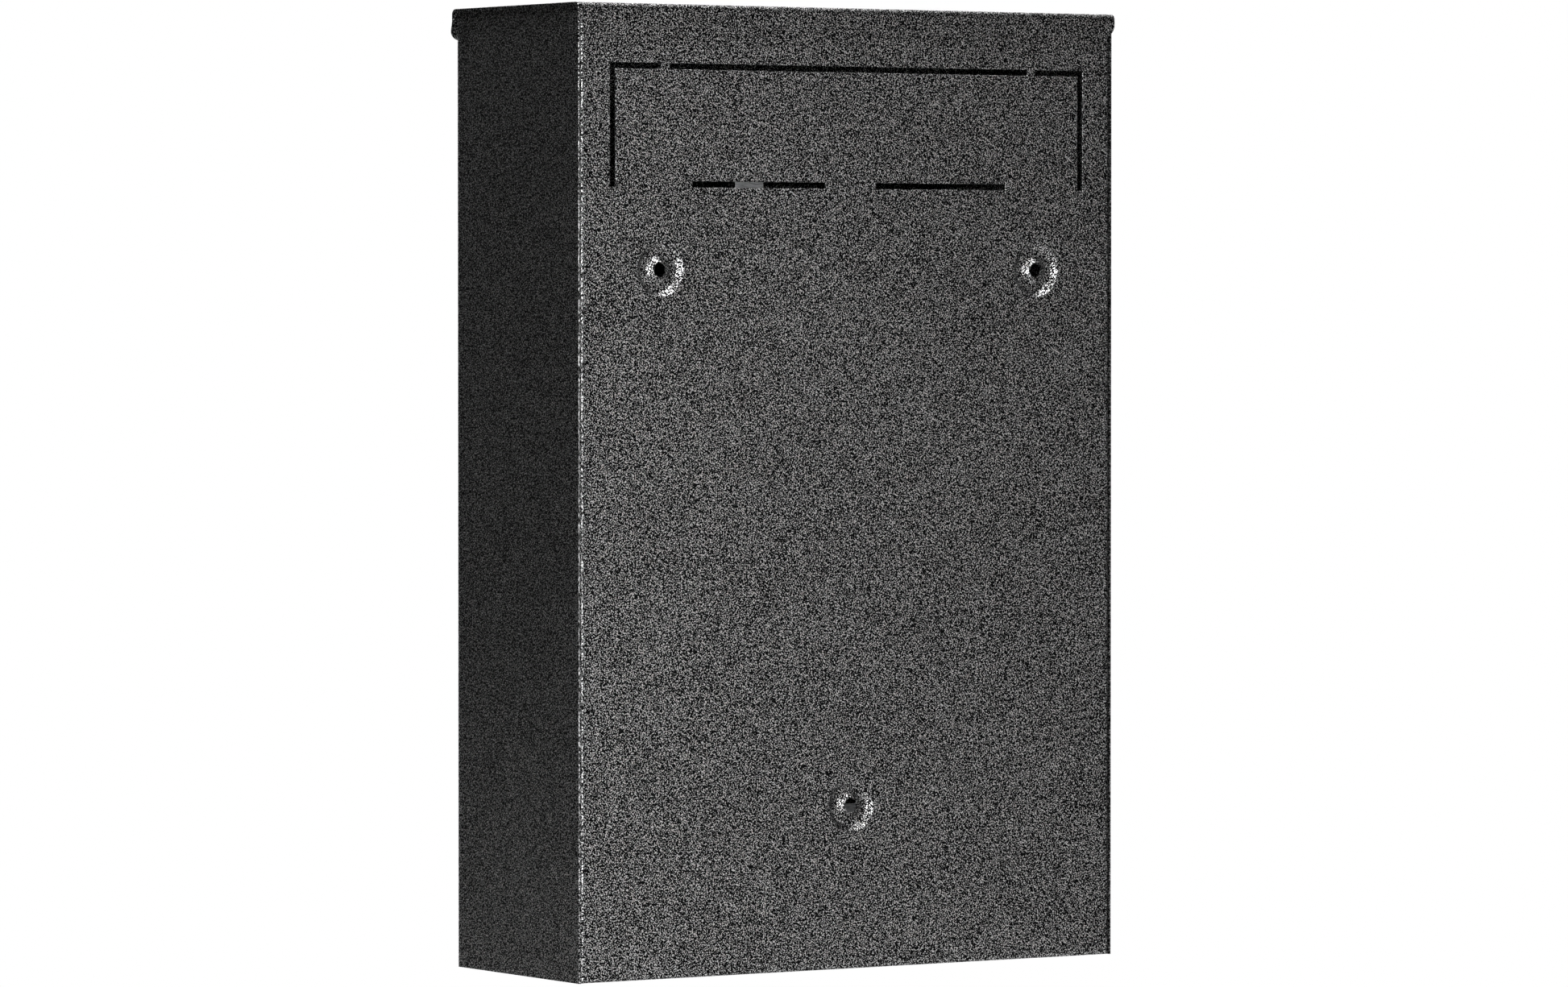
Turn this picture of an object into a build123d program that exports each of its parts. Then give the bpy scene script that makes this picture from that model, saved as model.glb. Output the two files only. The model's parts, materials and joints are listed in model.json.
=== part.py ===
"""Wall mounted sheet-steel mailbox with a rear knock-out, an inward flap and a locked drop-down door.

Millimetres, +Z up, +Y towards the wall, +X to the right of someone standing at the wall.
Each piece is drawn with the bottom of the box at z = 0 and the rear face at y = 0. On saving,
everything is lowered so that the origin is midway between the two upper wall screws.
"""

import math
import os

from build123d import *

# Overall box
body_width = 260.0
body_depth = 96.0
wall_height = 391.0
sheet = 1.0
bend_inner = 0.5
seam_gap = 0.1
edge_round = 0.6
cut_over = 1.0
cut_tolerance = 0.01
bend_outer = sheet + bend_inner

# Roof cover
roof_overhang = 0.75
rear_flange_height = 9.4
rear_flange_corner = 5.0
flange_edge_round = 0.35
lip_height = 12.4
lip_standoff = 1.4
lip_upright = 5.0
lip_flare = 1.8
lip_corner = 4.0

# Back panel
back_flange = 12.0
knockout_side = 15.0
knockout_height = 49.8
knockout_below_top = 22.8
knockout_slot = 2.45
slot_rim_round = 0.35
bridge_offset = 24.0
bridge_width = 4.0
lower_slot_start = 12.3
lower_slot_length = 63.9
screw_from_side = 38.5
screw_below_top = 105.7
lower_screw_height = 67.0
screw_hole_radius = 3.0
seat_land = 0.3
seat_cone_run = 2.5
seat_floor_width = 2.7
seat_slope_run = 2.5
seat_depth = 1.8
seat_lean = 0.35
seat_margin = 1.0

# Bottom panel
upstand = 11.0

# Front openings in the body wrap
mouth_side = 15.0
mouth_height = 35.0
mouth_below_top = 18.0
strip_height = 34.5
door_side = 18.0
door_opening_bottom = 46.0
opening_corner = 1.5

# Door
door_gap = 1.4
door_depth = 14.0
door_bottom_gap = 1.5

# Lock rail behind the strip between mouth and door
rail_from_side = 5.0
rail_above_door = 1.5
rail_height = 18.0
rail_top_depth = 11.0
rail_lip = 9.0
rail_stop_gap = 1.5

# Rubber buffers on the rail
buffer_radius = 4.0
buffer_thickness = 1.2
buffer_from_rail_end = 35.0

# Mouth flap and the rod it hangs on
flap_side_overlap = 2.0
flap_bottom_overlap = 4.0
flap_rim = 4.0
flap_front_gap = 0.3
flap_axis_above_mouth = 6.0
rod_radius = 1.5
rod_fit = 0.05
knuckle_wall = 0.9
flap_knuckle_length = 40.0
flap_knuckle_inset = 27.0
rod_stand_out = 1.0
rod_chamfer = 0.4
bracket_gap = 0.6
bracket_sheet = 1.2
bracket_foot = 9.0
bracket_rise = 11.0
bracket_rim = 2.5
clip_wall = 1.1
clip_thickness = 0.8

# Door hinges
hinge_spacing = 110.0
hinge_width = 34.0
hinge_leaf = 13.5
hinge_leaf_sheet = 1.0
hinge_proud = 0.2
pin_radius = 1.2
pin_fit = 0.05
hinge_knuckle_wall = 0.8
hinge_centre_knuckle = 12.0
hinge_side_gap = 0.3
hinge_notch_gap = 0.5
leaf_corner = 2.0
tab_overlap = 0.5
pin_stand_out = 0.3
pin_end_gap = 0.2
pin_end_round = 0.5
rivet_radius = 1.6
rivet_fit = 0.05
rivet_head_radius = 3.2
rivet_head_height = 0.9
rivet_tail_radius = 2.4
rivet_tail_height = 1.2
rivet_spacing = 20.0
rivet_offset = 8.5

# Cam lock
lock_rail_gap = 0.4
lock_head_radius = 11.0
lock_head_height = 2.6
lock_head_round = 0.8
lock_barrel_radius = 9.5
lock_flats = 16.0
lock_hole_gap = 0.1
nut_across_flats = 24.0
nut_thickness = 4.0
plug_radius = 5.5
plug_fit = 0.05
plug_recess = 0.3
keyway_width = 1.4
keyway_height = 7.0
keyway_depth = 9.0
cam_width = 14.0
cam_thickness = 2.0
cam_above_rail = 1.0
cam_corner = 2.45
cam_gap = 0.3
stud_square = 6.0
stud_recess = 0.1
washer_radius = 6.0
washer_thickness = 1.0
screw_head_radius = 3.8
screw_head_height = 2.4
screw_head_round = 0.7
screw_shank_radius = 2.0
screw_length = 9.0
screw_slot = 1.0
screw_slot_depth = 0.9

# Name holder on the door
name_width = 78.0
name_height = 26.0
name_thickness = 2.2
name_opening_width = 66.0
name_opening_height = 15.0
name_below_lock = 46.0
name_corner = 3.0
name_edge_round = 0.8
card_width = 70.0
card_height = 19.0
card_thickness = 0.4
window_thickness = 0.8
name_pocket_gap = 0.3

# Places that several pieces share
half_width = body_width / 2
inner_half = half_width - sheet
front_face = -body_depth
front_inner = front_face + sheet
roof_top = wall_height + sheet
roof_bend_inner = bend_outer - seam_gap
knockout_half = half_width - knockout_side
knockout_top = wall_height - knockout_below_top
knockout_bottom = knockout_top - knockout_height
screw_x = half_width - screw_from_side
screw_height = wall_height - screw_below_top
seat_floor_inner = screw_hole_radius + seat_land + seat_cone_run
seat_floor_outer = seat_floor_inner + seat_floor_width
seat_radius = seat_floor_outer + seat_slope_run
mouth_half = half_width - mouth_side
mouth_top = wall_height - mouth_below_top
strip_top = mouth_top - mouth_height
door_opening_half = half_width - door_side
door_opening_top = strip_top - strip_height
door_half = door_opening_half - door_gap
door_bottom = door_opening_bottom + door_bottom_gap
door_top = door_opening_top - door_gap
door_rim = front_face + door_depth
rail_half = half_width - rail_from_side
rail_bottom = door_opening_top + rail_above_door
rail_top = rail_bottom + rail_height
rail_stop = door_rim + rail_stop_gap
hinge_axis_y = front_face - hinge_proud
hinge_axis_z = door_opening_bottom + door_bottom_gap / 2
hinge_knuckle = pin_radius + hinge_knuckle_wall
hinge_notch_half = hinge_width / 2 + pin_stand_out + pin_end_gap
hinge_leaf_y = (front_inner, front_inner + hinge_leaf_sheet)
rivet_hole_radius = rivet_radius + rivet_fit
lock_z = rail_bottom - rail_lip - lock_rail_gap - lock_barrel_radius
lock_reach = (lock_z - 2 * lock_barrel_radius, lock_z + 2 * lock_barrel_radius)
cam_front = rail_stop + sheet + cam_gap
cam_back = cam_front + cam_thickness
name_z = lock_z - name_below_lock
flap_half = mouth_half + flap_side_overlap
flap_knuckle = rod_radius + knuckle_wall
flap_face = front_inner + flap_front_gap
flap_axis_y = flap_face + flap_knuckle
flap_axis_z = mouth_top + flap_axis_above_mouth
flap_bottom = strip_top - flap_bottom_overlap
flap_rear = flap_face + flap_rim
flap_knuckle_x = flap_half - flap_knuckle_inset
bracket_x = flap_half + bracket_gap
clip_radius = rod_radius + clip_wall
clip_x = bracket_x + bracket_sheet
rod_end = clip_x + clip_thickness + rod_stand_out


def block(x_range, y_range, z_range):
    """A box given by its two ends along each axis."""
    size = [high - low for low, high in (x_range, y_range, z_range)]
    middle = [(high + low) / 2 for low, high in (x_range, y_range, z_range)]
    return Pos(*middle) * Box(*size)


def rod_along_x(radius, x_range, y, z):
    """A round bar along X."""
    length = x_range[1] - x_range[0]
    return Pos(sum(x_range) / 2, y, z) * Rot(0, 90, 0) * Cylinder(radius, length)


def rod_along_y(radius, y_range, x, z):
    """A round bar along Y."""
    length = y_range[1] - y_range[0]
    return Pos(x, sum(y_range) / 2, z) * Rot(90, 0, 0) * Cylinder(radius, length)


def turned(profile, x, z):
    """A solid of revolution about a line along Y: the profile is (radius, y) pairs."""
    face = make_face(Polyline(*profile, close=True))
    return Pos(x, 0, z) * revolve(face, Axis.Y)


def shifted(points, distance):
    """The line parallel to a bent line, a given distance to its left."""
    normals = []
    for (u0, v0), (u1, v1) in zip(points, points[1:]):
        length = math.hypot(u1 - u0, v1 - v0)
        normals.append(((v0 - v1) / length, (u1 - u0) / length))
    before = [normals[0]] + normals
    after = normals + [normals[-1]]
    moved = []
    for (u, v), (a, b), (c, d) in zip(points, before, after):
        scale = distance / (1 + a * c + b * d)
        moved.append((u + (a + c) * scale, v + (b + d) * scale))
    return moved


def bent_section(points, thickness, inner_radius):
    """The cut face of a bent sheet whose outer line is given and whose thickness lies to the left."""
    outer_radii = []
    inner_radii = []
    for (u0, v0), (u1, v1), (u2, v2) in zip(points, points[1:], points[2:]):
        turns_left = (u1 - u0) * (v2 - v1) - (v1 - v0) * (u2 - u1) > 0
        outer_radii.append(inner_radius + (thickness if turns_left else 0))
        inner_radii.append(inner_radius + (0 if turns_left else thickness))
    outer = FilletPolyline(*points, radius=outer_radii)
    inner = FilletPolyline(*shifted(points, thickness), radius=inner_radii)
    ends = [Line(outer @ 0, inner @ 0), Line(outer @ 1, inner @ 1)]
    return make_face([*outer.edges(), *inner.edges(), *ends])


def bent_along_x(points, length, thickness=sheet, inner_radius=bend_inner):
    """A sheet bent in the (y, z) plane and centred along X."""
    section = Plane.YZ * bent_section(points, thickness, inner_radius)
    return extrude(section, length / 2, both=True)


def pan(x_range, z_range, face_y, depth, outwards):
    """A sheet with four welded edge flanges; outwards is +1 or -1, the Y way its face looks."""
    back_y = face_y - outwards * depth
    outer = block(x_range, sorted((face_y, back_y)), z_range)
    outer_face = outer.faces().sort_by(Axis.Y)[-1 if outwards > 0 else 0]
    outer = fillet(outer_face.edges(), bend_outer)
    inner_x = (x_range[0] + sheet, x_range[1] - sheet)
    inner_z = (z_range[0] + sheet, z_range[1] - sheet)
    inner_y = sorted((face_y - outwards * sheet, back_y - outwards * sheet))
    inner = block(inner_x, inner_y, inner_z)
    inner_face = inner.faces().sort_by(Axis.Y)[-1 if outwards > 0 else 0]
    return outer - fillet(inner_face.edges(), bend_inner)


def window(x_range, z_range, y_range, corner):
    """A cutter for an opening in a sheet that faces along Y, with rounded corners."""
    cutter = block(x_range, y_range, z_range)
    return fillet(cutter.edges().filter_by(Axis.Y), corner)


def pair(shape):
    """A shape and its mirror image across the middle of the box."""
    return Compound([*shape.solids(), *mirror(shape, Plane.YZ).solids()])


def make_body_wrap():
    """Front and both sides, bent from one sheet, with the mouth and the door opening cut in it."""
    line = [
        (-half_width, 0),
        (-half_width, front_face),
        (half_width, front_face),
        (half_width, 0),
    ]
    wrap = extrude(bent_section(line, sheet, bend_inner), wall_height)
    through = (front_face - cut_over, front_inner + cut_over)
    wrap -= window((-mouth_half, mouth_half), (strip_top, mouth_top), through, opening_corner)
    door_x = (-door_opening_half, door_opening_half)
    door_z = (door_opening_bottom, door_opening_top)
    wrap -= window(door_x, door_z, through, opening_corner)
    notch_z = (hinge_axis_z - hinge_knuckle - hinge_notch_gap, door_opening_bottom + cut_over)
    for x in (-hinge_spacing / 2, hinge_spacing / 2):
        wrap -= block((x - hinge_notch_half, x + hinge_notch_half), through, notch_z)
        for rivet_x in (x - rivet_spacing / 2, x + rivet_spacing / 2):
            wrap -= rod_along_y(rivet_hole_radius, through, rivet_x, hinge_axis_z - rivet_offset)
    top_corners = wrap.edges().filter_by(Axis.X).group_by(Axis.Z)[-1].group_by(Axis.Y)[-1]
    wrap = fillet(top_corners, bend_outer)
    rear_edges = wrap.edges().filter_by(Axis.Z).group_by(Axis.Y)[-1]
    outer_edges = [edge for edge in rear_edges if abs(edge.center().X) > inner_half + sheet / 2]
    return fillet(outer_edges, edge_round)


def knockout_cutters():
    """The narrow slots that leave a letter-sized panel held by small bridges."""
    through = (-sheet - cut_over, cut_over)
    top_z = (knockout_top - knockout_slot, knockout_top)
    bridge_x = knockout_half - bridge_offset
    middle = block((bridge_width - bridge_x, bridge_x - bridge_width), through, top_z)
    corner = block((bridge_x, knockout_half), through, top_z)
    side_x = (knockout_half - knockout_slot, knockout_half)
    corner += block(side_x, through, (knockout_bottom, knockout_top))
    lower_x = (lower_slot_start, lower_slot_start + lower_slot_length)
    lower = block(lower_x, through, (knockout_bottom, knockout_bottom + knockout_slot))
    return [middle, *pair(corner + lower).solids()]


def slot_rims(panel):
    """The edges of the knock-out slots on the rear face, which the coating rounds over."""
    rims = []
    for edge in panel.edges():
        low, high = edge.bounding_box().min, edge.bounding_box().max
        on_face = min(abs(low.Y), abs(high.Y)) < cut_tolerance and high.Y - low.Y < cut_tolerance
        inside = abs(edge.center().X) < knockout_half + cut_tolerance
        level = knockout_bottom - cut_tolerance < edge.center().Z < knockout_top + cut_tolerance
        if on_face and inside and level:
            rims.append(edge)
    return rims


def screw_seat(x, z):
    """A round dished seat that dips inwards and rises again to a screw hole level with the rear face."""
    hole = screw_hole_radius
    lean = seat_lean * sheet
    profile = [
        (seat_radius + seat_margin, 0),
        (seat_radius, 0),
        (seat_floor_outer, -seat_depth),
        (seat_floor_inner, -seat_depth),
        (hole + seat_land, 0),
        (hole, 0),
        (hole, -sheet),
        (hole + seat_land - lean, -sheet),
        (seat_floor_inner - lean, -seat_depth - sheet),
        (seat_floor_outer + lean, -seat_depth - sheet),
        (seat_radius + lean, -sheet),
        (seat_radius + seat_margin, -sheet),
    ]
    return turned(profile, x, z)


def make_back_panel():
    """The rear sheet, flanged forwards inside the walls, with its knock-out and three screw seats."""
    half = inner_half - seam_gap
    panel = pan((-half, half), (0, wall_height), 0, back_flange, 1)
    relief_z = (sheet, upstand + 2 * sheet)
    relief_y = (-back_flange - sheet, -sheet)
    relief = block((half - bend_outer, half + sheet), relief_y, relief_z)
    panel -= pair(relief)
    for cutter in knockout_cutters():
        panel -= cutter
    panel = fillet(slot_rims(panel), slot_rim_round)
    seats = [(-screw_x, screw_height), (screw_x, screw_height), (0, lower_screw_height)]
    for x, z in seats:
        panel -= rod_along_y(seat_radius + seat_margin / 2, (-sheet - cut_over, cut_over), x, z)
        panel += screw_seat(x, z)
    return panel


def make_bottom_panel():
    """The floor of the box: a tray that stands inside the walls."""
    half = inner_half - seam_gap
    y_range = (front_inner + seam_gap, -sheet - seam_gap)
    z_range = (sheet, sheet + upstand)
    outer = block((-half, half), y_range, z_range)
    floor_edges = outer.faces().sort_by(Axis.Z)[0].edges()
    outer = fillet(floor_edges + outer.edges().filter_by(Axis.Z), bend_outer)
    inner_y = (y_range[0] + sheet, y_range[1] - sheet)
    inner_z = (z_range[0] + sheet, z_range[1] + sheet)
    inner = block((sheet - half, half - sheet), inner_y, inner_z)
    floor_edges = inner.faces().sort_by(Axis.Z)[0].edges()
    return outer - fillet(floor_edges + inner.edges().filter_by(Axis.Z), bend_inner)


def make_roof_cover():
    """One bent sheet: a short flange down the back, the flat top and a flared lip at the front."""
    lip_y = front_face - lip_standoff - sheet
    line = [
        (sheet, roof_top - rear_flange_height),
        (sheet, roof_top),
        (lip_y, roof_top),
        (lip_y, roof_top - lip_upright),
        (lip_y - lip_flare, roof_top - lip_height),
    ]
    width = body_width + 2 * roof_overhang
    cover = bent_along_x(line, width, inner_radius=roof_bend_inner)

    def end_edges(near_y, near_z):
        found = []
        for edge in cover.edges():
            middle = edge.center()
            across = abs(abs(middle.X) - width / 2) < cut_tolerance and edge.length < 1.2 * sheet
            near = abs(middle.Y - near_y) < sheet and abs(middle.Z - near_z) < sheet
            if across and near:
                found.append(edge)
        return found

    cover = fillet(end_edges(sheet / 2, roof_top - rear_flange_height), rear_flange_corner)
    lip_edges = end_edges(lip_y - lip_flare + sheet / 2, roof_top - lip_height)
    cover = fillet(lip_edges, lip_corner)
    flange_edge = cover.edges().filter_by(Axis.X).group_by(Axis.Y)[-1].sort_by(Axis.Z)[0]
    return fillet(flange_edge, flange_edge_round)


def make_lock_rail():
    """Channel behind the strip under the mouth; its lip stops the door and holds the cam."""
    line = [
        (front_inner + rail_top_depth, rail_top),
        (front_inner, rail_top),
        (front_inner, rail_bottom),
        (rail_stop, rail_bottom),
        (rail_stop, rail_bottom - rail_lip),
    ]
    return bent_along_x(line, 2 * rail_half)


def make_door_buffers():
    """Rubber pads on the rail's lip that the door's top flange closes on."""
    y_range = (rail_stop - buffer_thickness, rail_stop)
    z = rail_bottom - buffer_radius - sheet
    pad = rod_along_y(buffer_radius, y_range, rail_half - buffer_from_rail_end, z)
    return pair(fillet(pad.edges().group_by(Axis.Y)[0], buffer_thickness / 3))


def make_mouth_flap():
    """Shallow pan, rim forwards, that hangs behind the mouth from knuckles rolled round a rod."""
    plate_top = flap_axis_z - flap_knuckle - rod_fit
    plate_z = (flap_bottom, plate_top + flap_rim)
    flap = pan((-flap_half, flap_half), plate_z, flap_rear, flap_rim, 1)
    whole_x = (-flap_half - cut_over, flap_half + cut_over)
    whole_y = (flap_face - cut_over, flap_rear + cut_over)
    flap -= block(whole_x, whole_y, (plate_top, plate_top + 2 * flap_rim))
    for x in (-flap_knuckle_x, 0, flap_knuckle_x):
        x_range = (x - flap_knuckle_length / 2, x + flap_knuckle_length / 2)
        flap += rod_along_x(flap_knuckle, x_range, flap_axis_y, flap_axis_z)
        flap += block(x_range, (flap_rear - sheet, flap_rear), (plate_top - sheet, flap_axis_z))
    return flap - rod_along_x(rod_radius + rod_fit, whole_x, flap_axis_y, flap_axis_z)


def make_flap_rod():
    """The plain steel rod that the flap turns on."""
    rod = rod_along_x(rod_radius, (-rod_end, rod_end), flap_axis_y, flap_axis_z)
    ends = rod.edges().group_by(Axis.X)
    return chamfer(ends[0] + ends[-1], rod_chamfer)


def make_flap_bracket():
    """Right-hand angle bracket: a foot on the inside of the front and an ear that holds the rod."""
    top = flap_axis_z + bracket_rise
    foot_bottom = flap_axis_z + clip_radius + bracket_gap
    ear_y = (front_inner, flap_axis_y + rod_radius + bracket_rim)
    ear = block((bracket_x, clip_x), ear_y, (flap_axis_z - rod_radius - bracket_rim, top))
    rear_edges = ear.edges().filter_by(Axis.X).group_by(Axis.Y)[-1]
    ear = fillet(rear_edges, bracket_rim)
    foot_x = (bracket_x, bracket_x + bracket_foot)
    foot = block(foot_x, (front_inner, front_inner + bracket_sheet), (foot_bottom, top))
    foot_edges = foot.edges().filter_by(Axis.Y).group_by(Axis.X)[-1]
    bracket = ear + fillet(foot_edges, bracket_rim)
    hole_x = (bracket_x - cut_over, clip_x + cut_over)
    return bracket - rod_along_x(rod_radius, hole_x, flap_axis_y, flap_axis_z)


def make_flap_rod_clips():
    """Push-on washers that keep the rod in its brackets."""
    clip = rod_along_x(clip_radius, (clip_x, clip_x + clip_thickness), flap_axis_y, flap_axis_z)
    clip -= rod_along_x(rod_radius, (bracket_x, rod_end), flap_axis_y, flap_axis_z)
    return pair(clip)


def make_door():
    """Pan-shaped door, flush with the front, notched for its hinges and pierced for the lock."""
    door = pan((-door_half, door_half), (door_bottom, door_top), front_face, door_depth, -1)
    through = (front_face - cut_over, front_inner + cut_over)
    notch_y = (front_face - cut_over, door_rim + cut_over)
    notch_z = (door_bottom - cut_over, hinge_axis_z + hinge_knuckle + hinge_notch_gap)
    for x in (-hinge_spacing / 2, hinge_spacing / 2):
        door -= block((x - hinge_notch_half, x + hinge_notch_half), notch_y, notch_z)
        for rivet_x in (x - rivet_spacing / 2, x + rivet_spacing / 2):
            door -= rod_along_y(rivet_hole_radius, through, rivet_x, hinge_axis_z + rivet_offset)
    flat_half = lock_flats / 2 + lock_hole_gap
    hole = rod_along_y(lock_barrel_radius + lock_hole_gap, through, 0, lock_z)
    return door - (hole & block((-flat_half, flat_half), through, lock_reach))


def hinge_leaf_piece(x, upwards):
    """One leaf of a small butt hinge; the door's leaf goes up and has the two outer knuckles."""
    start = hinge_knuckle + hinge_notch_gap
    plate_z = sorted((hinge_axis_z + upwards * start, hinge_axis_z + upwards * hinge_leaf))
    half = hinge_width / 2
    plate = block((x - half, x + half), hinge_leaf_y, plate_z)
    far_edges = plate.edges().filter_by(Axis.Y).group_by(Axis.Z)[-1 if upwards > 0 else 0]
    leaf = fillet(far_edges, leaf_corner)
    half_centre = hinge_centre_knuckle / 2
    outer_start = half_centre + hinge_side_gap
    if upwards > 0:
        spans = [(x - half, x - outer_start), (x + outer_start, x + half)]
        bore = pin_radius + pin_fit
    else:
        spans = [(x - half_centre, x + half_centre)]
        bore = pin_radius
    tab_z = sorted((hinge_axis_z, hinge_axis_z + upwards * (start + tab_overlap)))
    for span in spans:
        leaf += rod_along_x(hinge_knuckle, span, hinge_axis_y, hinge_axis_z)
        leaf += block(span, hinge_leaf_y, tab_z)
    bore_x = (x - half - cut_over, x + half + cut_over)
    leaf -= rod_along_x(bore, bore_x, hinge_axis_y, hinge_axis_z)
    through = (hinge_leaf_y[0] - cut_over, hinge_leaf_y[1] + cut_over)
    for rivet_x in (x - rivet_spacing / 2, x + rivet_spacing / 2):
        rivet_z = hinge_axis_z + upwards * rivet_offset
        leaf -= rod_along_y(rivet_hole_radius, through, rivet_x, rivet_z)
    return leaf


def hinge_pin(x):
    """Hinge pin, rounded at both ends."""
    reach = hinge_width / 2 + pin_stand_out
    pin = rod_along_x(pin_radius, (x - reach, x + reach), hinge_axis_y, hinge_axis_z)
    ends = pin.edges().group_by(Axis.X)
    return fillet(ends[0] + ends[-1], pin_end_round)


def hinge_rivets(upwards):
    """Four rivets that hold one side of both hinges: low domed heads outside, set tails inside."""
    inside = hinge_leaf_y[1]
    profile = [
        (0, front_face - rivet_head_height),
        (rivet_head_radius * 0.55, front_face - rivet_head_height * 0.85),
        (rivet_head_radius * 0.88, front_face - rivet_head_height * 0.45),
        (rivet_head_radius, front_face),
        (rivet_radius, front_face),
        (rivet_radius, inside),
        (rivet_tail_radius, inside),
        (rivet_tail_radius, inside + rivet_tail_height * 0.7),
        (rivet_tail_radius * 0.6, inside + rivet_tail_height),
        (0, inside + rivet_tail_height),
    ]
    rivets = []
    for hinge_x in (-hinge_spacing / 2, hinge_spacing / 2):
        for x in (hinge_x - rivet_spacing / 2, hinge_x + rivet_spacing / 2):
            rivets.append(turned(profile, x, hinge_axis_z + upwards * rivet_offset))
    return Compound([rivet.solid() for rivet in rivets])


def make_lock_housing():
    """Cam lock body: round head outside the door and a flatted barrel through it."""
    head = rod_along_y(lock_head_radius, (front_face - lock_head_height, front_face), 0, lock_z)
    head = fillet(head.edges().group_by(Axis.Y)[0], lock_head_round)
    barrel_y = (front_face, cam_front - cam_gap)
    barrel = rod_along_y(lock_barrel_radius, barrel_y, 0, lock_z)
    barrel &= block((-lock_flats / 2, lock_flats / 2), barrel_y, lock_reach)
    bore_y = (front_face - lock_head_height - cut_over, cam_front + cut_over)
    return head + barrel - rod_along_y(plug_radius + plug_fit, bore_y, 0, lock_z)


def make_lock_nut():
    """Hexagon nut that clamps the lock to the inside of the door."""
    hexagon = Plane.XZ * RegularPolygon(nut_across_flats / 2, 6, major_radius=False)
    nut = Pos(0, front_inner, lock_z) * extrude(hexagon, -nut_thickness)
    bore_y = (front_inner - cut_over, front_inner + nut_thickness + cut_over)
    return nut - rod_along_y(lock_barrel_radius, bore_y, 0, lock_z)


def make_lock_plug():
    """The part of the lock that the key turns, with a square stud behind for the cam."""
    front = front_face - lock_head_height + plug_recess
    plug = rod_along_y(plug_radius, (front, cam_front), 0, lock_z)
    stud_half = stud_square / 2
    stud_y = (cam_front, cam_back - stud_recess)
    plug += block((-stud_half, stud_half), stud_y, (lock_z - stud_half, lock_z + stud_half))
    slot_z = (lock_z - keyway_height / 2, lock_z + keyway_height / 2)
    slot_y = (front - cut_over, front + keyway_depth)
    plug -= block((-keyway_width / 2, keyway_width / 2), slot_y, slot_z)
    seat = cam_back + washer_thickness
    return plug - rod_along_y(screw_shank_radius, (seat - screw_length, seat), 0, lock_z)


def make_lock_cam():
    """Flat steel cam, pointing up behind the rail's lip when locked."""
    half = cam_width / 2
    y_range = (cam_front, cam_back)
    cam = block((-half, half), y_range, (lock_z, rail_top + cam_above_rail))
    cam = fillet(cam.edges().filter_by(Axis.Y).group_by(Axis.Z)[-1], cam_corner)
    cam += rod_along_y(half, y_range, 0, lock_z)
    square = stud_square / 2
    hole_y = (cam_front - cut_over, cam_back + cut_over)
    return cam - block((-square, square), hole_y, (lock_z - square, lock_z + square))


def make_cam_washer():
    """Plain washer under the cam screw."""
    washer = rod_along_y(washer_radius, (cam_back, cam_back + washer_thickness), 0, lock_z)
    hole_y = (cam_back - cut_over, cam_back + washer_thickness + cut_over)
    return washer - rod_along_y(screw_shank_radius, hole_y, 0, lock_z)


def make_cam_screw():
    """Slotted screw that holds the cam on the plug."""
    seat = cam_back + washer_thickness
    top = seat + screw_head_height
    screw = rod_along_y(screw_head_radius, (seat, top), 0, lock_z)
    screw = fillet(screw.edges().group_by(Axis.Y)[-1], screw_head_round)
    screw += rod_along_y(screw_shank_radius, (seat - screw_length, seat), 0, lock_z)
    slot_y = (top - screw_slot_depth, top + cut_over)
    reach = (lock_z - 2 * screw_head_radius, lock_z + 2 * screw_head_radius)
    return screw - block((-screw_slot / 2, screw_slot / 2), slot_y, reach)


def name_block(width, height, y_range):
    """A block centred on the name holder's place."""
    z_range = (name_z - height / 2, name_z + height / 2)
    return block((-width / 2, width / 2), y_range, z_range)


def make_name_frame():
    """Moulded surround of the name card, hollow behind for the window and the card."""
    name_front = front_face - name_thickness
    frame = name_block(name_width, name_height, (name_front, front_face))
    frame = fillet(frame.edges().filter_by(Axis.Y), name_corner)
    frame = fillet(frame.faces().sort_by(Axis.Y)[0].edges(), name_edge_round)
    through = (name_front - cut_over, front_face + cut_over)
    frame -= name_block(name_opening_width, name_opening_height, through)
    pocket_y = (front_face - card_thickness - window_thickness, front_face + cut_over)
    gap = 2 * name_pocket_gap
    return frame - name_block(card_width + gap, card_height + gap, pocket_y)


def make_name_card():
    """Blank card against the door."""
    return name_block(card_width, card_height, (front_face - card_thickness, front_face))


def make_name_window():
    """Clear sheet over the card."""
    back = front_face - card_thickness
    return name_block(card_width, card_height, (back - window_thickness, back))


def save(node, shape):
    """Write one node, lowered so that the upper wall screws lie at z = 0."""
    placed = Pos(0, 0, -screw_height) * shape
    export_step(placed, f"parts/{node}.step")
    print(node, len(placed.solids()))


os.makedirs("parts", exist_ok=True)

save("body_wrap", make_body_wrap())
save("back_panel", make_back_panel())
save("bottom_panel", make_bottom_panel())
save("roof_cover", make_roof_cover())
save("lock_rail", make_lock_rail())
save("door_buffers", make_door_buffers())

save("mouth_flap", make_mouth_flap())
save("flap_rod", make_flap_rod())
save("flap_bracket_right", make_flap_bracket())
save("flap_bracket_left", mirror(make_flap_bracket(), Plane.YZ))
save("flap_rod_clips", make_flap_rod_clips())

save("door", make_door())
for side, sign in (("left", -1), ("right", 1)):
    x = sign * hinge_spacing / 2
    save(f"hinge_{side}_body_leaf", hinge_leaf_piece(x, -1))
    save(f"hinge_{side}_door_leaf", hinge_leaf_piece(x, 1))
    save(f"hinge_{side}_pin", hinge_pin(x))
save("hinge_body_rivets", hinge_rivets(-1))
save("hinge_door_rivets", hinge_rivets(1))

save("lock_housing", make_lock_housing())
save("lock_nut", make_lock_nut())
save("lock_plug", make_lock_plug())
save("lock_cam", make_lock_cam())
save("cam_washer", make_cam_washer())
save("cam_screw", make_cam_screw())

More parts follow.
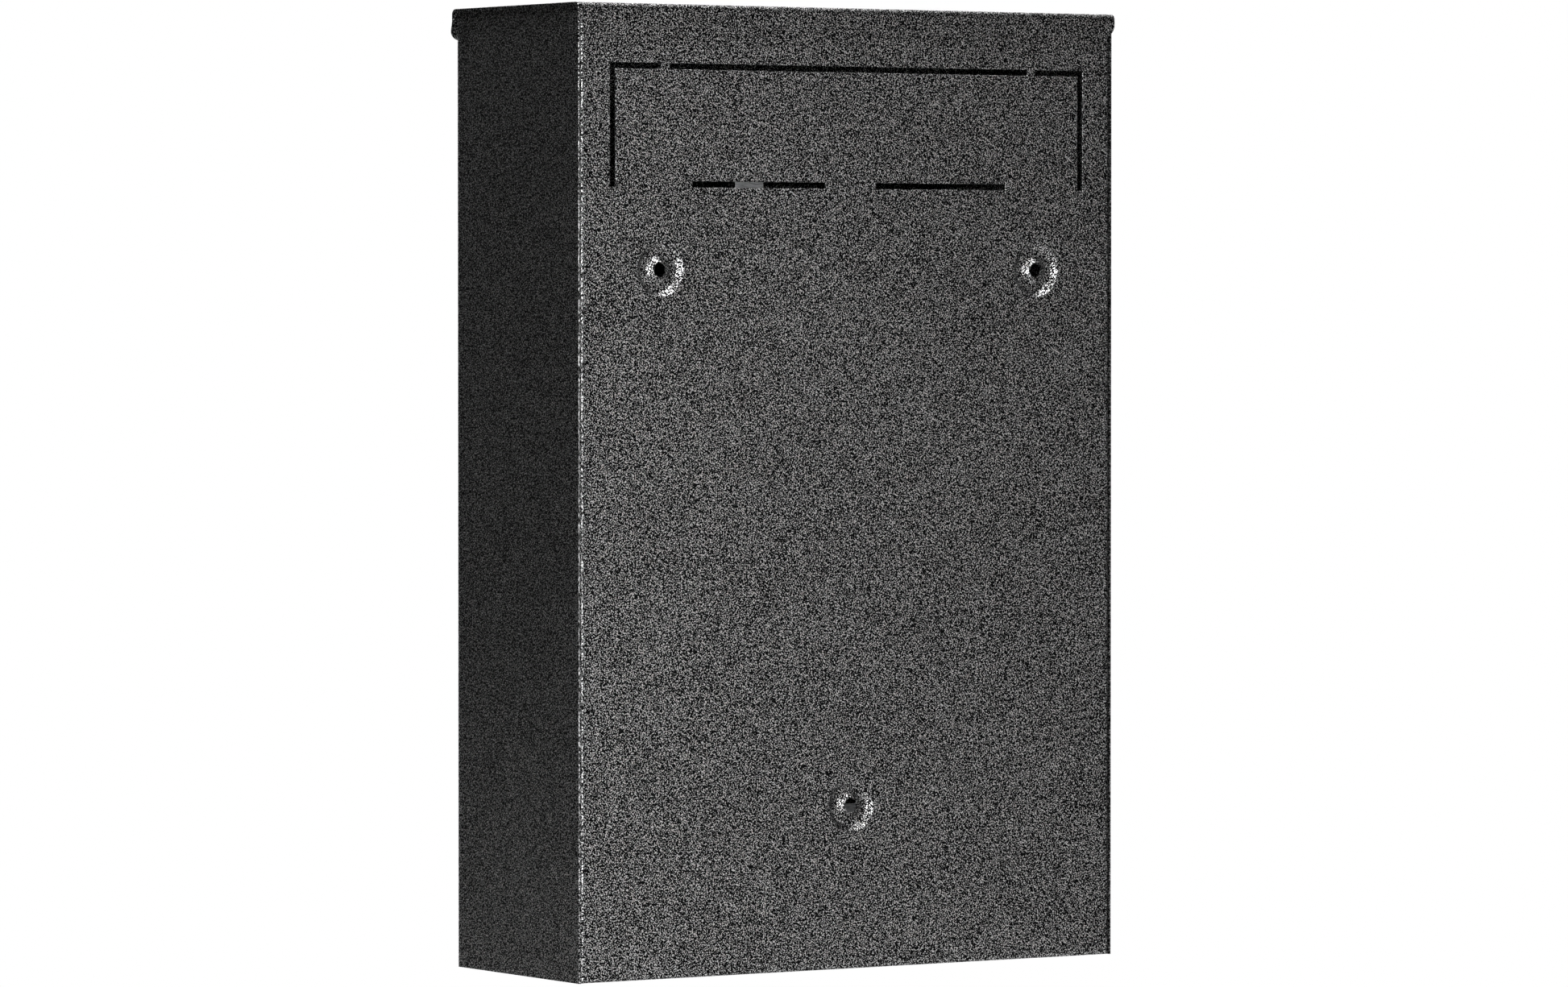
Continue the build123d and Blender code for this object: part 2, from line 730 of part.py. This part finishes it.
save("name_frame", make_name_frame())
save("name_card", make_name_card())
save("name_window", make_name_window())
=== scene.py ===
import json
import math

import bpy
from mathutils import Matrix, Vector


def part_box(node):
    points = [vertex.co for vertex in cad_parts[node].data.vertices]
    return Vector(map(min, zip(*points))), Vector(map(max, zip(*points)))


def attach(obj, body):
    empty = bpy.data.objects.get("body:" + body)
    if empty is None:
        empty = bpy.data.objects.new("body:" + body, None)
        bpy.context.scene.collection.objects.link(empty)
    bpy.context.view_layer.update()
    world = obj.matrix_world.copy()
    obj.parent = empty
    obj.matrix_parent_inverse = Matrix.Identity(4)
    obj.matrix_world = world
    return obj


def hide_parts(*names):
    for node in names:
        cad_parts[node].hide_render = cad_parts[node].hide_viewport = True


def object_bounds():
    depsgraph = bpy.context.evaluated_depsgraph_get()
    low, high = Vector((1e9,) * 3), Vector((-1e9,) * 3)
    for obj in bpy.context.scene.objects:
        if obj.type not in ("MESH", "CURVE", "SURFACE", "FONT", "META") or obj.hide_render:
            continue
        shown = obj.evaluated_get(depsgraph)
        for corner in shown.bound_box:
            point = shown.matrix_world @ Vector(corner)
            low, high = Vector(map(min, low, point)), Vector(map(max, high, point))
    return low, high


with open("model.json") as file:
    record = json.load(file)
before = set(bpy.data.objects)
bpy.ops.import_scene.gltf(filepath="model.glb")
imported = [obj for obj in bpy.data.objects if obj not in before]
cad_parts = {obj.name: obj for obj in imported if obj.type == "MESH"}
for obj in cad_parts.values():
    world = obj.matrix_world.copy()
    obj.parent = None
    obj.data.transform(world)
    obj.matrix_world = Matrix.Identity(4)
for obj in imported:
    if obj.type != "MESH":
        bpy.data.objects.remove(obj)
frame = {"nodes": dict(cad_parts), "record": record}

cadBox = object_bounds()     # the CAD model's box, before anything is added
boxLow = cadBox[0]
nodes = frame["nodes"]
bpy.ops.object.select_all(action="DESELECT")
print("frame loaded,", len(nodes), "pieces")


# small helpers that wire a material's nodes

def newMaterial(name):
    material = bpy.data.materials.new(name)
    material.use_nodes = True
    return material, material.node_tree.nodes["Principled BSDF"]


def addNode(material, kind, **settings):
    node = material.node_tree.nodes.new(kind)
    for key, value in settings.items():
        setattr(node, key, value)
    return node


def link(material, output, target):
    material.node_tree.links.new(output, target)


def objectPlace(material, centre=(0, 0, 0), stretch=(1, 1, 1), turn=(0, 0, 0)):
    coordinates = addNode(material, "ShaderNodeTexCoord")
    mapping = addNode(material, "ShaderNodeMapping")
    mapping.inputs["Rotation"].default_value = turn
    mapping.inputs["Location"].default_value = [-c * s for c, s in zip(centre, stretch)]
    mapping.inputs["Scale"].default_value = stretch
    link(material, coordinates.outputs["Object"], mapping.inputs["Vector"])
    return mapping.outputs["Vector"]


def noiseField(material, place, scale, detail=2.0, roughness=0.5):
    noise = addNode(material, "ShaderNodeTexNoise")
    noise.inputs["Scale"].default_value = scale
    noise.inputs["Detail"].default_value = detail
    noise.inputs["Roughness"].default_value = roughness
    link(material, place, noise.inputs["Vector"])
    return noise.outputs["Fac"]


def fitRange(material, value, fromLow, fromHigh, toLow, toHigh, smooth=False):
    node = addNode(material, "ShaderNodeMapRange")
    if smooth:
        node.interpolation_type = "SMOOTHSTEP"
    settings = (("From Min", fromLow), ("From Max", fromHigh), ("To Min", toLow), ("To Max", toHigh))
    for socket, number in settings:
        node.inputs[socket].default_value = number
    link(material, value, node.inputs["Value"])
    return node.outputs["Result"]


def maths(material, operation, first, second):
    node = addNode(material, "ShaderNodeMath", operation=operation)
    for socket, value in zip(node.inputs, (first, second)):
        if isinstance(value, (int, float)):
            socket.default_value = value
        else:
            link(material, value, socket)
    return node.outputs["Value"]


def mixColour(material, share, first, second):
    node = addNode(material, "ShaderNodeMix", data_type="RGBA")
    link(material, share, node.inputs["Factor"])
    for socket, colour in ((node.inputs[6], first), (node.inputs[7], second)):
        if isinstance(colour, tuple):
            socket.default_value = (*colour, 1.0)
        else:
            link(material, colour, socket)
    return node.outputs[2]


def addBump(material, shader, height, distance, strength=1.0):
    bump = addNode(material, "ShaderNodeBump")
    bump.inputs["Distance"].default_value = distance
    bump.inputs["Strength"].default_value = strength
    link(material, height, bump.inputs["Height"])
    link(material, bump.outputs["Normal"], shader.inputs["Normal"])


fullRange = (0.0, 1.0)
midBand = (0.3, 0.7)         # where most of a noise's values lie


# silver-black vein powder coat on all the sheet steel
hammeredCoat = {
    "grainScale": 2200.0,       # silver grains, per metre
    "grainDetail": 0.0,
    "grainTurn": (0.61, 0.43, 0.27),    # keeps every face off the noise's own grid
    "patchScale": 26.0,         # slow change of flake density over the sheet
    "patchDetail": 3.0,
    "patchShift": (-0.006, 0.006),
    "black": (0.006, 0.006, 0.0063),
    "silver": (0.98, 0.98, 0.98),
    "veinBand": (0.55, 0.65),
    "metallic": (0.8, 1.0),     # black, then silver
    "roughness": (0.42, 0.38),
    "clearGloss": 0.05,
    "bumpDistance": 0.00004,
}


def makeHammeredCoat():
    look = hammeredCoat
    material, shader = newMaterial("hammeredCoat")
    place = objectPlace(material, turn=look["grainTurn"])
    grain = noiseField(material, place, look["grainScale"], detail=look["grainDetail"])
    patch = noiseField(material, place, look["patchScale"], detail=look["patchDetail"])
    shift = fitRange(material, patch, *midBand, *look["patchShift"])
    shifted = maths(material, "ADD", grain, shift)
    vein = fitRange(material, shifted, *look["veinBand"], *fullRange, smooth=True)
    link(material, mixColour(material, vein, look["black"], look["silver"]), shader.inputs["Base Color"])
    link(material, fitRange(material, vein, *fullRange, *look["metallic"]), shader.inputs["Metallic"])
    link(material, fitRange(material, vein, *fullRange, *look["roughness"]), shader.inputs["Roughness"])
    shader.inputs["Specular IOR Level"].default_value = look["clearGloss"]
    addBump(material, shader, grain, look["bumpDistance"])
    return material


# bright zinc plate on the small fittings
zincPlate = {
    "steel": (0.50, 0.51, 0.52),
    "paleSteel": (0.68, 0.69, 0.70),
    "streakStretch": (60.0, 1400.0, 1400.0),    # per metre, so long along X
    "streakDetail": 3.0,
    "spangleScale": 420.0,
    "toneBand": (0.12, 0.4),
    "roughness": (0.24, 0.42),
    "bumpDistance": 0.00003,
    "bumpStrength": 0.6,
}


def makeZincPlate():
    look = zincPlate
    material, shader = newMaterial("zincPlate")
    along = objectPlace(material, stretch=look["streakStretch"])
    streak = noiseField(material, along, 1.0, detail=look["streakDetail"])
    spangle = noiseField(material, objectPlace(material), look["spangleScale"])
    tone = maths(material, "MULTIPLY", streak, spangle)
    share = fitRange(material, tone, *look["toneBand"], *fullRange)
    link(material, mixColour(material, share, look["steel"], look["paleSteel"]), shader.inputs["Base Color"])
    shader.inputs["Metallic"].default_value = 1.0
    link(material, fitRange(material, streak, *midBand, *look["roughness"]), shader.inputs["Roughness"])
    addBump(material, shader, streak, look["bumpDistance"], look["bumpStrength"])
    return material


# satin chrome on the lock, turned about the lock's axis
satinChrome = {
    "chrome": (0.70, 0.70, 0.71),
    "dull": (0.55, 0.55, 0.56),
    "ringScale": 900.0,
    "ringWobble": 1.5,
    "ringDetail": 2.0,
    "smudgeScale": 180.0,
    "smudgeDetail": 4.0,
    "smudgeBand": (0.35, 0.7),
    "roughness": (0.14, 0.26),
    "bumpDistance": 0.00001,
    "bumpStrength": 0.5,
}


def makeSatinChrome(lockCentre):
    look = satinChrome
    material, shader = newMaterial("satinChrome")
    place = objectPlace(material, centre=lockCentre)
    rings = addNode(material, "ShaderNodeTexWave", wave_type="RINGS", rings_direction="Y")
    rings.inputs["Scale"].default_value = look["ringScale"]
    rings.inputs["Distortion"].default_value = look["ringWobble"]
    rings.inputs["Detail"].default_value = look["ringDetail"]
    link(material, place, rings.inputs["Vector"])
    smudge = noiseField(material, place, look["smudgeScale"], detail=look["smudgeDetail"])
    share = fitRange(material, smudge, *look["smudgeBand"], *fullRange)
    link(material, mixColour(material, share, look["chrome"], look["dull"]), shader.inputs["Base Color"])
    shader.inputs["Metallic"].default_value = 1.0
    link(material, fitRange(material, smudge, *midBand, *look["roughness"]), shader.inputs["Roughness"])
    addBump(material, shader, rings.outputs["Fac"], look["bumpDistance"], look["bumpStrength"])
    return material


# moulded rubber of the door buffers
rubberPad = {
    "fresh": (0.018, 0.018, 0.018),
    "dusty": (0.06, 0.058, 0.055),
    "grainScale": 2600.0,
    "grainDetail": 3.0,
    "dustScale": 300.0,
    "dustDetail": 4.0,
    "dustBand": (0.45, 0.75),
    "roughness": (0.72, 0.9),
    "bumpDistance": 0.00005,
}


def makeRubber():
    look = rubberPad
    material, shader = newMaterial("bufferRubber")
    place = objectPlace(material)
    grain = noiseField(material, place, look["grainScale"], detail=look["grainDetail"])
    dustNoise = noiseField(material, place, look["dustScale"], detail=look["dustDetail"])
    dust = fitRange(material, dustNoise, *look["dustBand"], *fullRange)
    link(material, mixColour(material, dust, look["fresh"], look["dusty"]), shader.inputs["Base Color"])
    link(material, fitRange(material, grain, *midBand, *look["roughness"]), shader.inputs["Roughness"])
    addBump(material, shader, grain, look["bumpDistance"])
    return material


# spark-eroded black plastic of the name holder
blackPlastic = {
    "deep": (0.016, 0.016, 0.017),
    "worn": (0.034, 0.034, 0.035),
    "grainScale": 1900.0,
    "wearScale": 60.0,
    "wearDetail": 4.0,
    "wearBand": (0.4, 0.7),
    "roughness": (0.46, 0.36),
    "bumpDistance": 0.00004,
    "bumpStrength": 0.7,
}


def makeBlackPlastic():
    look = blackPlastic
    material, shader = newMaterial("blackPlastic")
    place = objectPlace(material)
    grain = addNode(material, "ShaderNodeTexVoronoi", feature="SMOOTH_F1")
    grain.inputs["Scale"].default_value = look["grainScale"]
    link(material, place, grain.inputs["Vector"])
    wearNoise = noiseField(material, place, look["wearScale"], detail=look["wearDetail"])
    wear = fitRange(material, wearNoise, *look["wearBand"], *fullRange)
    link(material, mixColour(material, wear, look["deep"], look["worn"]), shader.inputs["Base Color"])
    link(material, fitRange(material, wear, *fullRange, *look["roughness"]), shader.inputs["Roughness"])
    addBump(material, shader, grain.outputs["Distance"], look["bumpDistance"], look["bumpStrength"])
    return material


# uncoated card behind the window
nameCard = {
    "paper": (0.88, 0.87, 0.83),
    "fibre": (0.81, 0.80, 0.75),
    "fibreStretch": (500, 500, 2200),   # per metre, so fine along Z
    "fibreDetail": 5.0,
    "fibreRoughness": 0.7,
    "fibreBand": (0.45, 0.75),
    "roughness": (0.8, 0.95),
    "bumpDistance": 0.00002,
}


def makeCard():
    look = nameCard
    material, shader = newMaterial("namePaper")
    place = objectPlace(material, stretch=look["fibreStretch"])
    fibre = noiseField(material, place, 1.0, look["fibreDetail"], look["fibreRoughness"])
    share = fitRange(material, fibre, *look["fibreBand"], *fullRange)
    link(material, mixColour(material, share, look["paper"], look["fibre"]), shader.inputs["Base Color"])
    link(material, fitRange(material, fibre, *midBand, *look["roughness"]), shader.inputs["Roughness"])
    addBump(material, shader, fibre, look["bumpDistance"])
    return material


# clear polished plastic over the card
clearWindow = {
    "tint": (0.94, 0.96, 0.96),
    "ior": 1.49,
    "cover": 0.06,              # how much of what lies behind it is hidden
    "hazeStretch": (90, 90, 700),       # per metre, so fine along Z
    "hazeDetail": 4.0,
    "hazeBand": (0.4, 0.7),
    "roughness": (0.04, 0.12),
    "bumpDistance": 0.000004,
    "bumpStrength": 0.4,
}


def makeClearWindow():
    look = clearWindow
    material, shader = newMaterial("clearPlastic")
    place = objectPlace(material, stretch=look["hazeStretch"])
    haze = noiseField(material, place, 1.0, detail=look["hazeDetail"])
    shader.inputs["Base Color"].default_value = (*look["tint"], 1.0)
    shader.inputs["Alpha"].default_value = look["cover"]
    shader.inputs["IOR"].default_value = look["ior"]
    gloss = fitRange(material, haze, *look["hazeBand"], *look["roughness"])
    link(material, gloss, shader.inputs["Roughness"])
    addBump(material, shader, haze, look["bumpDistance"], look["bumpStrength"])
    return material


lockCentre = sum(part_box("lock_plug"), Vector()) / 2
finishes = {
    "hammered_coat": makeHammeredCoat(),
    "zinc": makeZincPlate(),
    "chrome_plate": makeSatinChrome(lockCentre),
    "rubber": makeRubber(),
    "black_plastic": makeBlackPlastic(),
    "card": makeCard(),
    "clear_window": makeClearWindow(),
}
for part in frame["record"]["subparts"]:
    mesh = nodes[part["node"]].data
    mesh.materials.clear()
    mesh.materials.append(finishes[part["material_slot"]])


# clear pane of the name holder, a hair clear of the card so that light reaches the paper
namePane = {"cardGap": 0.00012, "edgeRound": 0.00018, "edgeSteps": 2}


def makeNamePane():
    look = namePane
    low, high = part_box("name_window")
    high.y -= look["cardGap"]
    middle = (low + high) / 2
    bpy.ops.object.select_all(action="DESELECT")
    bpy.ops.mesh.primitive_cube_add(size=1, location=middle, scale=high - low)
    bpy.ops.object.transform_apply(location=True, rotation=True, scale=True)
    pane = bpy.context.object
    pane.name = "namePane"
    bpy.ops.object.mode_set(mode="EDIT")
    bpy.ops.mesh.select_all(action="SELECT")
    bpy.ops.mesh.bevel(offset=look["edgeRound"], segments=look["edgeSteps"], affect="EDGES")
    bpy.ops.mesh.normals_make_consistent(inside=False)
    bpy.ops.object.mode_set(mode="OBJECT")
    pane.data.materials.clear()
    pane.data.materials.append(finishes["clear_window"])
    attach(pane, "door")
    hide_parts("name_window")


makeNamePane()
print("name pane made")


# pale floor, low enough for the open door to hang clear; little is thrown back on the box
floorLook = {
    "size": 2.4,
    "pale": (0.60, 0.60, 0.60),
    "paler": (0.66, 0.66, 0.66),
    "thrown": (0.18, 0.18, 0.18),       # what the box sees of it
    "toneScale": 3.0,
    "toneDetail": 3.0,
    "roughness": 0.9,
    "gloss": 0.1,
    "drop": 0.22,
}


def makeFloor():
    look = floorLook
    bpy.ops.mesh.primitive_plane_add(size=look["size"], location=(0, 0, boxLow.z - look["drop"]))
    floor = bpy.context.object
    floor.name = "studioFloor"
    material, shader = newMaterial("studioPaper")
    tone = noiseField(material, objectPlace(material), look["toneScale"], detail=look["toneDetail"])
    paper = mixColour(material, tone, look["pale"], look["paler"])
    rays = addNode(material, "ShaderNodeLightPath")
    seen = mixColour(material, rays.outputs["Is Camera Ray"], look["thrown"], paper)
    link(material, seen, shader.inputs["Base Color"])
    shader.inputs["Roughness"].default_value = look["roughness"]
    shader.inputs["Specular IOR Level"].default_value = look["gloss"]
    floor.data.materials.append(material)
    return floor


# soft boxes: place in metres, size and power, and the pieces lit where that isn't everything
lights = {
    "topSoftbox": {"place": (0.0, -0.05, 2.31), "size": (1.5, 1.5), "power": 240.0, "lit": "walls"},
    "roofSoftbox": {"place": (0.0, -0.05, 2.31), "size": (1.5, 1.5), "power": 70.0, "lit": "roof"},
    "highSoftbox": {"place": (0.12, 1.32, 1.88), "size": (0.9, 0.9), "power": 7.0},
    "backSoftbox": {"place": (-0.82, 2.2, -0.09), "size": (0.9, 0.9), "power": 2.7},
    "sideSoftbox": {"place": (2.08, 1.15, -0.09), "size": (0.9, 0.9), "power": 0.5},
    "edgeSoftbox": {"place": (1.29, 1.53, 0.0), "size": (0.8, 1.6), "power": 21.0},
    "insideSoftbox": {"place": (-0.82, 2.2, -0.09), "size": (0.9, 0.9), "power": 11.0, "lit": "fittings"},
    "frontSoftbox": {"place": (-1.6, -1.9, 1.0), "size": (2.4, 2.2), "power": 32.0},
    "frontLowSoftbox": {"place": (-0.4, -2.5, 0.0), "size": (1.4, 1.4), "power": 11.0},
}
lightTarget = (0, -0.05, -0.09)
litPieces = {
    "walls": [name for name in nodes if name != "roof_cover"],
    "roof": ["roof_cover"],
    "fittings": ["lock_cam", "cam_washer", "cam_screw", "hinge_left_door_leaf", "hinge_right_door_leaf"],
}


def makeLights(floor):
    target = Vector(lightTarget)
    groups = {}
    for group, names in litPieces.items():
        groups[group] = bpy.data.collections.new(group)
        for name in names:
            groups[group].objects.link(nodes[name])
    groups["walls"].objects.link(floor)
    for name, look in lights.items():
        lamp = bpy.data.lights.new(name, "AREA")
        lamp.shape = "RECTANGLE"
        lamp.size, lamp.size_y = look["size"]
        lamp.energy = look["power"]
        holder = bpy.data.objects.new(name, lamp)
        bpy.context.scene.collection.objects.link(holder)
        holder.location = look["place"]
        holder.rotation_mode = "QUATERNION"
        holder.rotation_quaternion = (target - holder.location).to_track_quat("-Z", "Y")
        holder.visible_camera = False
        lit = look.get("lit")
        if lit:
            holder.light_linking.receiver_collection = groups[lit]
        if lit == "fittings":     # nothing else blocks it, so it reaches them through the closed box
            holder.light_linking.blocker_collection = groups[lit]


# the room: white where it is seen, and no light from it
roomLook = {"seen": 1.0, "lighting": 0.0}


def makeRoom():
    world = bpy.data.worlds.new("studioRoom")
    bpy.context.scene.world = world
    world.use_nodes = True
    tree = world.node_tree
    background = tree.nodes["Background"]
    background.inputs["Color"].default_value = (1, 1, 1, 1)
    rays = tree.nodes.new("ShaderNodeLightPath")
    strength = tree.nodes.new("ShaderNodeMapRange")
    strength.inputs["To Min"].default_value = roomLook["lighting"]
    strength.inputs["To Max"].default_value = roomLook["seen"]
    tree.links.new(rays.outputs["Is Camera Ray"], strength.inputs["Value"])
    tree.links.new(strength.outputs["Result"], background.inputs["Strength"])
    bpy.context.scene.view_settings.view_transform = "Standard"


# camera behind the box, towards its +X side and a little above its middle
cameraLook = {
    "place": (1.728, 2.631, -0.0103),
    "heading": (-0.5417, -0.8406),
    "pitch": -1.47,             # degrees
    "lens": 177.2,              # millimetres, as the sensor
    "sensor": 36.0,
    "farthest": 60.0,
}


def makeCamera():
    data = bpy.data.cameras.new("camera")
    data.lens = cameraLook["lens"]
    data.sensor_width = cameraLook["sensor"]
    data.clip_end = cameraLook["farthest"]
    camera = bpy.data.objects.new("camera", data)
    bpy.context.scene.collection.objects.link(camera)
    pitch = math.radians(cameraLook["pitch"])
    alongX, alongY = cameraLook["heading"]
    aim = Vector((alongX * math.cos(pitch), alongY * math.cos(pitch), math.sin(pitch)))
    camera.location = cameraLook["place"]
    camera.rotation_mode = "QUATERNION"
    camera.rotation_quaternion = aim.to_track_quat("-Z", "Y")
    bpy.context.scene.camera = camera


makeLights(makeFloor())
makeRoom()
makeCamera()
print("floor, lights and camera placed")
